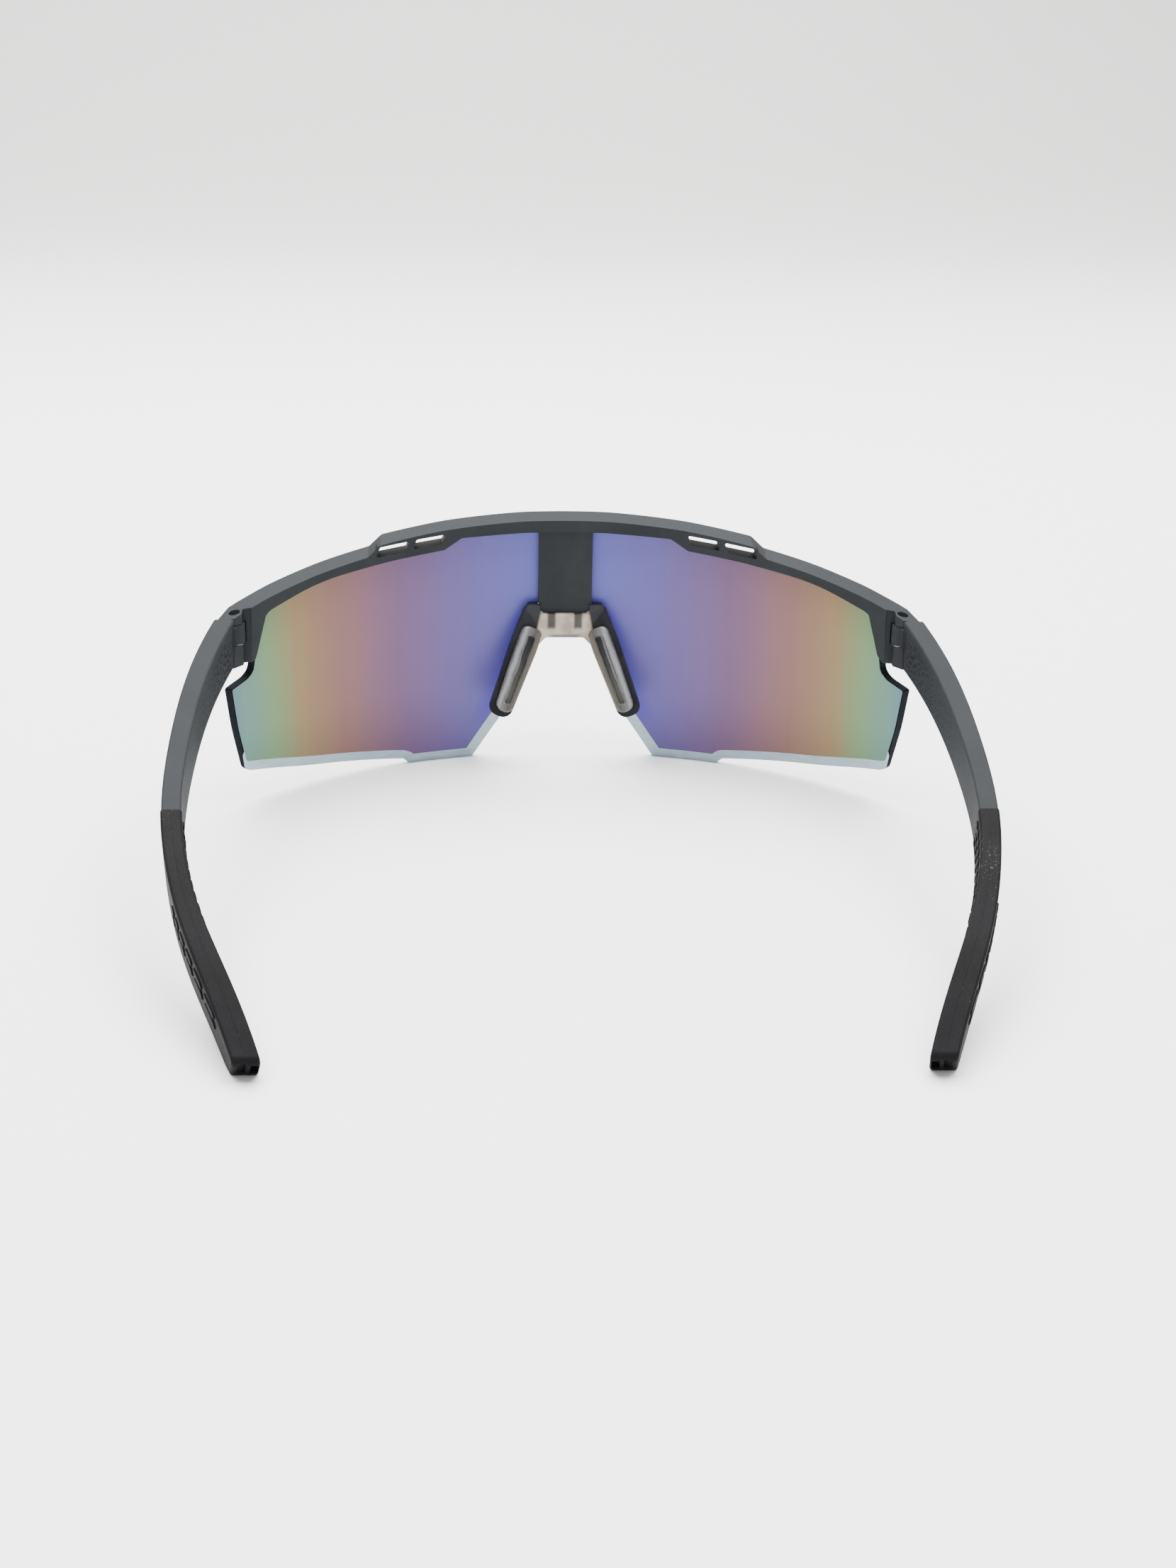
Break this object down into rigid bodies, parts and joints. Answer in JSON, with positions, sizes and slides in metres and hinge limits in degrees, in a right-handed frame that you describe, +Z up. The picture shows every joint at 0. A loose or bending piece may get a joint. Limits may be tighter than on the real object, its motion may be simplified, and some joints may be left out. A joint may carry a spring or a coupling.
{
  "type": "wraparound shield sunglasses",
  "caption": "Wraparound sports sunglasses: one-piece curved mirror lens under a vented brow bar, clear nose piece, folding arms with rubber grips, standing open.",
  "frame": {"origin": "centre of the bounding box in plan, at the table under the lens's two feet and the two grip tips", "axes": "-Y towards the front of the glasses, +Y towards the temple tips, +X towards the wearer's left, +Z up from the table"},
  "size_m": [0.1484, 0.1505, 0.054],
  "materials": {
    "frame_plastic": "fine matt grey",
    "lens_coating": "smooth iridescent mirror coating, blue and violet in the middle to green at the sides",
    "clear_plastic": "clear moulded plastic",
    "clear_silicone": "clear soft silicone",
    "grip_rubber": "matt soft rubber",
    "screw_steel": "dark plated steel",
    "insert_brass": "turned brass"
  },
  "bodies": {
    "front": {"brow_frame": "frame_plastic", "shield_lens": "lens_coating", "nose_carrier": "clear_plastic", "nose_pad_left": "clear_silicone", "nose_pad_right": "clear_silicone", "hinge_screw_left": "screw_steel", "hinge_screw_right": "screw_steel", "hinge_insert_left": "insert_brass", "hinge_insert_right": "insert_brass", "hinge_washer_left": "screw_steel", "hinge_washer_right": "screw_steel"},
    "arm_left": {"temple_left": "frame_plastic", "grip_left": "grip_rubber"},
    "arm_right": {"temple_right": "frame_plastic", "grip_right": "grip_rubber"}
  },
  "joints": [
    {"name": "temple_fold_left", "type": "hinge", "parent": "front", "child": "arm_left", "pos_m": [0.066, -0.0419, 0.038], "axis": [0, 0, 1], "range_deg": [0, 87]},
    {"name": "temple_fold_right", "type": "hinge", "parent": "front", "child": "arm_right", "pos_m": [-0.066, -0.0419, 0.038], "axis": [0, 0, -1], "range_deg": [0, 80]}
  ]
}
